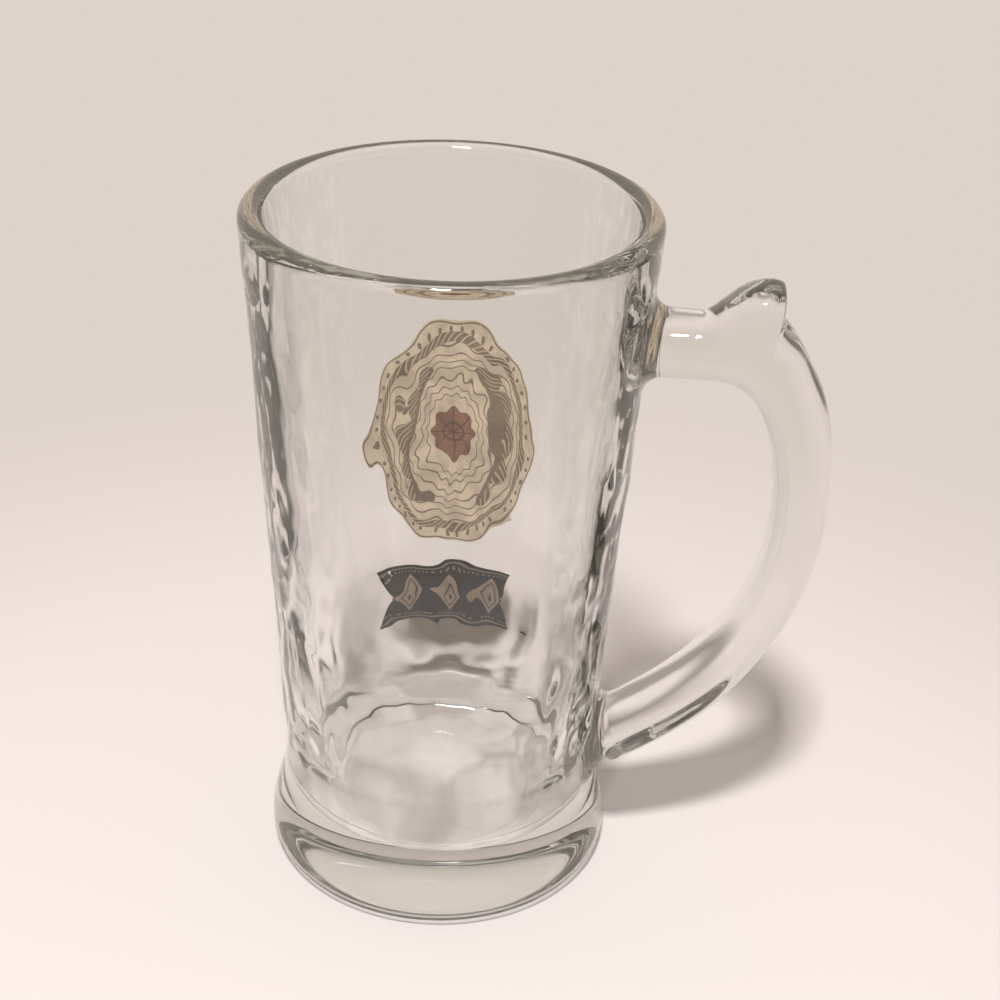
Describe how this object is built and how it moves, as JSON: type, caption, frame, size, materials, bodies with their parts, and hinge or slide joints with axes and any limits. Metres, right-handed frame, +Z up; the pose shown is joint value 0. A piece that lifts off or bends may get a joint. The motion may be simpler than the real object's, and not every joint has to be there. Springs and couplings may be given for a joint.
{
  "type": "glass mug",
  "caption": "Tall clear glass beer mug with a hammered wall, heavy rounded foot, loop handle with a thumb rest, and a fired enamel badge and banner on the side.",
  "frame": {"origin": "on the mug's axis at the middle of the underside of the foot", "axes": "+Z up along the mug's axis, +X towards the handle, +Y towards the printed side"},
  "size_m": [0.1162, 0.08, 0.145],
  "materials": {
    "clear_glass": "clear fire-polished soda-lime glass with a faint grey-green tint",
    "beige_enamel": "fired enamel, satin beige",
    "umber_enamel": "fired enamel, satin grey-brown",
    "russet_enamel": "fired enamel, satin red-brown",
    "black_enamel": "fired enamel, glossy near-black",
    "tan_enamel": "fired enamel, satin tan"
  },
  "bodies": {
    "root": {"mug_body": "clear_glass", "handle": "clear_glass", "badge_border": "beige_enamel", "badge_ring": "umber_enamel", "badge_field": "beige_enamel", "badge_rosette": "russet_enamel", "badge_spray_left": "umber_enamel", "badge_spray_right": "umber_enamel", "banner_ribbon": "black_enamel", "banner_lozenge_left": "tan_enamel", "banner_lozenge_middle": "tan_enamel", "banner_lozenge_right": "tan_enamel"}
  },
  "joints": []
}
